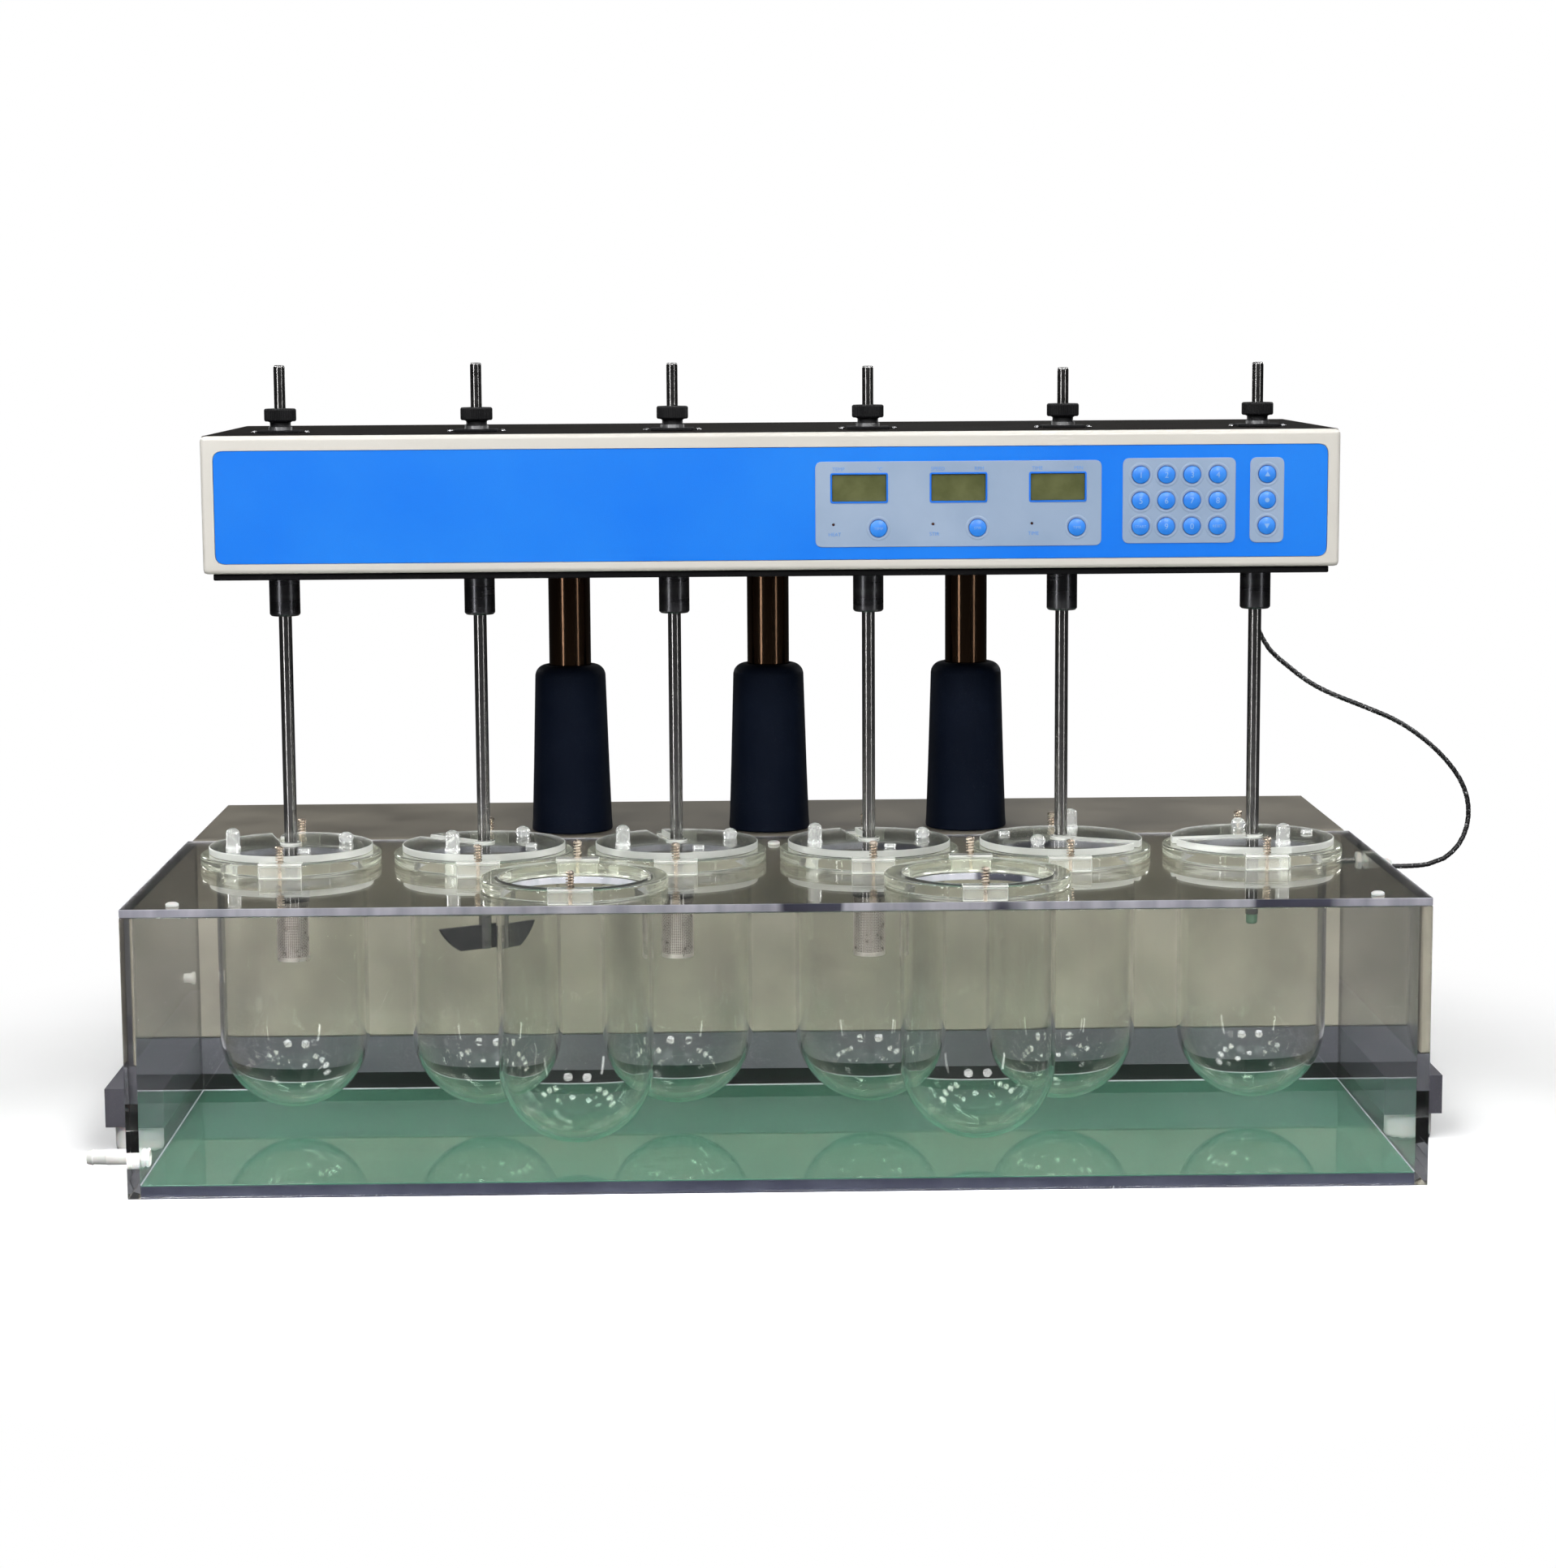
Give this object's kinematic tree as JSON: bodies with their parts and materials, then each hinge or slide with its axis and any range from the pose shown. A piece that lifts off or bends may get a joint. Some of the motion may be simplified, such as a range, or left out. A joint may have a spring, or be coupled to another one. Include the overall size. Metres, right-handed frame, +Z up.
{
  "type": "tablet dissolution tester",
  "caption": "Bench tester that stirs tablets in round-bottomed glass vessels in a clear heated bath, under a head that lifts on columns.",
  "frame": {"origin": "on the bench, at the middle of the footprint without the free cable", "axes": "+X to the right as the control panel is seen, +Y from the bath in front to the cabinet behind, +Z up"},
  "size_m": [0.9973, 0.496, 0.561],
  "materials": {
    "plinth": "matt dark grey paint",
    "cabinet": "semi-matt grey-beige paint on sheet steel",
    "boot": "matt black rubber",
    "acrylic": "clear polished acrylic with bright edges",
    "vessel_glass": "clear glass, slightly green in the flange",
    "cover": "clear acrylic with frosted edges",
    "nylon": "white nylon",
    "cable": "black spiral wrap over a cable",
    "head_case": "off-white beige paint",
    "head_top": "dark brown-grey paint",
    "head_base": "black paint",
    "panel": "blue printed film on a backing plate",
    "key": "glossy blue plastic",
    "column": "polished, bronze-coloured",
    "motor": "black paint",
    "spindle": "satin steel",
    "stirrer": "satin steel"
  },
  "bodies": {
    "base": {"base_plinth": "plinth", "cabinet_shell": "cabinet", "column_boot_left": "boot", "column_boot_middle": "boot", "column_boot_right": "boot", "bath_tank": "acrylic", "bath_lid": "acrylic", "vessel_1": "vessel_glass", "vessel_2": "vessel_glass", "vessel_3": "vessel_glass", "vessel_4": "vessel_glass", "vessel_5": "vessel_glass", "vessel_6": "vessel_glass", "vessel_7": "vessel_glass", "vessel_8": "vessel_glass", "drain_fitting": "nylon", "cable_gland": "nylon", "probe_cable": "cable"},
    "head": {"head_case": "head_case", "head_top_plate": "head_top", "head_base_plate": "head_base", "control_panel": "panel", "lift_columns": "column", "drive_motor": "motor"},
    "cover_1": {"vessel_cover_1": "cover"},
    "cover_2": {"vessel_cover_2": "cover"},
    "cover_3": {"vessel_cover_3": "cover"},
    "cover_4": {"vessel_cover_4": "cover"},
    "cover_5": {"vessel_cover_5": "cover"},
    "cover_6": {"vessel_cover_6": "cover"},
    "spindle_1": {"spindle_1": "spindle"},
    "spindle_2": {"spindle_2": "spindle"},
    "spindle_3": {"spindle_3": "spindle"},
    "spindle_4": {"spindle_4": "spindle"},
    "spindle_5": {"spindle_5": "spindle"},
    "spindle_6": {"spindle_6": "spindle"},
    "stirrer_1": {"stirrer_1": "stirrer"},
    "stirrer_2": {"stirrer_2": "stirrer"},
    "stirrer_3": {"stirrer_3": "stirrer"},
    "stirrer_4": {"stirrer_4": "stirrer"},
    "stirrer_5": {"stirrer_5": "stirrer"},
    "stirrer_6": {"stirrer_6": "stirrer"},
    "key_1": {"key_1": "key"},
    "key_2": {"key_2": "key"},
    "key_3": {"key_3": "key"},
    "key_4": {"key_4": "key"},
    "key_5": {"key_5": "key"},
    "key_6": {"key_6": "key"},
    "key_7": {"key_7": "key"},
    "key_8": {"key_8": "key"},
    "key_start": {"key_start": "key"},
    "key_9": {"key_9": "key"},
    "key_0": {"key_0": "key"},
    "key_reset": {"key_reset": "key"},
    "key_temperature": {"key_temperature": "key"},
    "key_speed": {"key_speed": "key"},
    "key_time": {"key_time": "key"},
    "key_up": {"key_up": "key"},
    "key_stop": {"key_stop": "key"},
    "key_down": {"key_down": "key"}
  },
  "joints": [
    {"name": "head_lift", "type": "slide", "parent": "base", "child": "head", "axis": [0, 0, 1], "range_m": [-0.08, 0.026], "deforming": ["probe_cable"]},
    {"name": "spindle_turn_1", "type": "hinge", "parent": "head", "child": "spindle_1", "pos_m": [-0.35, -0.057, 0.45], "axis": [0, 0, 1], "continuous": true},
    {"name": "spindle_turn_2", "type": "hinge", "parent": "head", "child": "spindle_2", "pos_m": [-0.21, -0.057, 0.45], "axis": [0, 0, 1], "continuous": true},
    {"name": "spindle_turn_3", "type": "hinge", "parent": "head", "child": "spindle_3", "pos_m": [-0.07, -0.057, 0.45], "axis": [0, 0, 1], "continuous": true},
    {"name": "spindle_turn_4", "type": "hinge", "parent": "head", "child": "spindle_4", "pos_m": [0.07, -0.057, 0.45], "axis": [0, 0, 1], "continuous": true},
    {"name": "spindle_turn_5", "type": "hinge", "parent": "head", "child": "spindle_5", "pos_m": [0.21, -0.057, 0.45], "axis": [0, 0, 1], "continuous": true},
    {"name": "spindle_turn_6", "type": "hinge", "parent": "head", "child": "spindle_6", "pos_m": [0.35, -0.057, 0.45], "axis": [0, 0, 1], "continuous": true},
    {"name": "stirrer_height_1", "type": "slide", "parent": "spindle_1", "child": "stirrer_1", "axis": [0, 0, 1], "range_m": [-0.012, 0.025]},
    {"name": "stirrer_height_2", "type": "slide", "parent": "spindle_2", "child": "stirrer_2", "axis": [0, 0, 1], "range_m": [-0.012, 0.025]},
    {"name": "stirrer_height_3", "type": "slide", "parent": "spindle_3", "child": "stirrer_3", "axis": [0, 0, 1], "range_m": [-0.012, 0.025]},
    {"name": "stirrer_height_4", "type": "slide", "parent": "spindle_4", "child": "stirrer_4", "axis": [0, 0, 1], "range_m": [-0.012, 0.025]},
    {"name": "stirrer_height_5", "type": "slide", "parent": "spindle_5", "child": "stirrer_5", "axis": [0, 0, 1], "range_m": [-0.012, 0.025]},
    {"name": "stirrer_height_6", "type": "slide", "parent": "spindle_6", "child": "stirrer_6", "axis": [0, 0, 1], "range_m": [-0.012, 0.025]},
    {"name": "cover_lift_1", "type": "slide", "parent": "base", "child": "cover_1", "axis": [0, 0, 1], "range_m": [0, 0.05]},
    {"name": "cover_lift_2", "type": "slide", "parent": "base", "child": "cover_2", "axis": [0, 0, 1], "range_m": [0, 0.05]},
    {"name": "cover_lift_3", "type": "slide", "parent": "base", "child": "cover_3", "axis": [0, 0, 1], "range_m": [0, 0.05]},
    {"name": "cover_lift_4", "type": "slide", "parent": "base", "child": "cover_4", "axis": [0, 0, 1], "range_m": [0, 0.05]},
    {"name": "cover_lift_5", "type": "slide", "parent": "base", "child": "cover_5", "axis": [0, 0, 1], "range_m": [0, 0.05]},
    {"name": "cover_lift_6", "type": "slide", "parent": "base", "child": "cover_6", "axis": [0, 0, 1], "range_m": [0, 0.05]},
    {"name": "key_press_1", "type": "slide", "parent": "head", "child": "key_1", "axis": [0, 1, 0], "range_m": [0, 0.0008], "stiffness_N_per_m": 300, "springref_m": -0.002},
    {"name": "key_press_2", "type": "slide", "parent": "head", "child": "key_2", "axis": [0, 1, 0], "range_m": [0, 0.0008], "stiffness_N_per_m": 300, "springref_m": -0.002},
    {"name": "key_press_3", "type": "slide", "parent": "head", "child": "key_3", "axis": [0, 1, 0], "range_m": [0, 0.0008], "stiffness_N_per_m": 300, "springref_m": -0.002},
    {"name": "key_press_4", "type": "slide", "parent": "head", "child": "key_4", "axis": [0, 1, 0], "range_m": [0, 0.0008], "stiffness_N_per_m": 300, "springref_m": -0.002},
    {"name": "key_press_5", "type": "slide", "parent": "head", "child": "key_5", "axis": [0, 1, 0], "range_m": [0, 0.0008], "stiffness_N_per_m": 300, "springref_m": -0.002},
    {"name": "key_press_6", "type": "slide", "parent": "head", "child": "key_6", "axis": [0, 1, 0], "range_m": [0, 0.0008], "stiffness_N_per_m": 300, "springref_m": -0.002},
    {"name": "key_press_7", "type": "slide", "parent": "head", "child": "key_7", "axis": [0, 1, 0], "range_m": [0, 0.0008], "stiffness_N_per_m": 300, "springref_m": -0.002},
    {"name": "key_press_8", "type": "slide", "parent": "head", "child": "key_8", "axis": [0, 1, 0], "range_m": [0, 0.0008], "stiffness_N_per_m": 300, "springref_m": -0.002},
    {"name": "key_press_start", "type": "slide", "parent": "head", "child": "key_start", "axis": [0, 1, 0], "range_m": [0, 0.0008], "stiffness_N_per_m": 300, "springref_m": -0.002},
    {"name": "key_press_9", "type": "slide", "parent": "head", "child": "key_9", "axis": [0, 1, 0], "range_m": [0, 0.0008], "stiffness_N_per_m": 300, "springref_m": -0.002},
    {"name": "key_press_0", "type": "slide", "parent": "head", "child": "key_0", "axis": [0, 1, 0], "range_m": [0, 0.0008], "stiffness_N_per_m": 300, "springref_m": -0.002},
    {"name": "key_press_reset", "type": "slide", "parent": "head", "child": "key_reset", "axis": [0, 1, 0], "range_m": [0, 0.0008], "stiffness_N_per_m": 300, "springref_m": -0.002},
    {"name": "key_press_temperature", "type": "slide", "parent": "head", "child": "key_temperature", "axis": [0, 1, 0], "range_m": [0, 0.0008], "stiffness_N_per_m": 300, "springref_m": -0.002},
    {"name": "key_press_speed", "type": "slide", "parent": "head", "child": "key_speed", "axis": [0, 1, 0], "range_m": [0, 0.0008], "stiffness_N_per_m": 300, "springref_m": -0.002},
    {"name": "key_press_time", "type": "slide", "parent": "head", "child": "key_time", "axis": [0, 1, 0], "range_m": [0, 0.0008], "stiffness_N_per_m": 300, "springref_m": -0.002},
    {"name": "key_press_up", "type": "slide", "parent": "head", "child": "key_up", "axis": [0, 1, 0], "range_m": [0, 0.0008], "stiffness_N_per_m": 300, "springref_m": -0.002},
    {"name": "key_press_stop", "type": "slide", "parent": "head", "child": "key_stop", "axis": [0, 1, 0], "range_m": [0, 0.0008], "stiffness_N_per_m": 300, "springref_m": -0.002},
    {"name": "key_press_down", "type": "slide", "parent": "head", "child": "key_down", "axis": [0, 1, 0], "range_m": [0, 0.0008], "stiffness_N_per_m": 300, "springref_m": -0.002}
  ],
  "couplings": [
    {"joint": "spindle_turn_2", "follows": "spindle_turn_1", "ratio": 1},
    {"joint": "spindle_turn_3", "follows": "spindle_turn_1", "ratio": 1},
    {"joint": "spindle_turn_4", "follows": "spindle_turn_1", "ratio": 1},
    {"joint": "spindle_turn_5", "follows": "spindle_turn_1", "ratio": 1},
    {"joint": "spindle_turn_6", "follows": "spindle_turn_1", "ratio": 1}
  ]
}
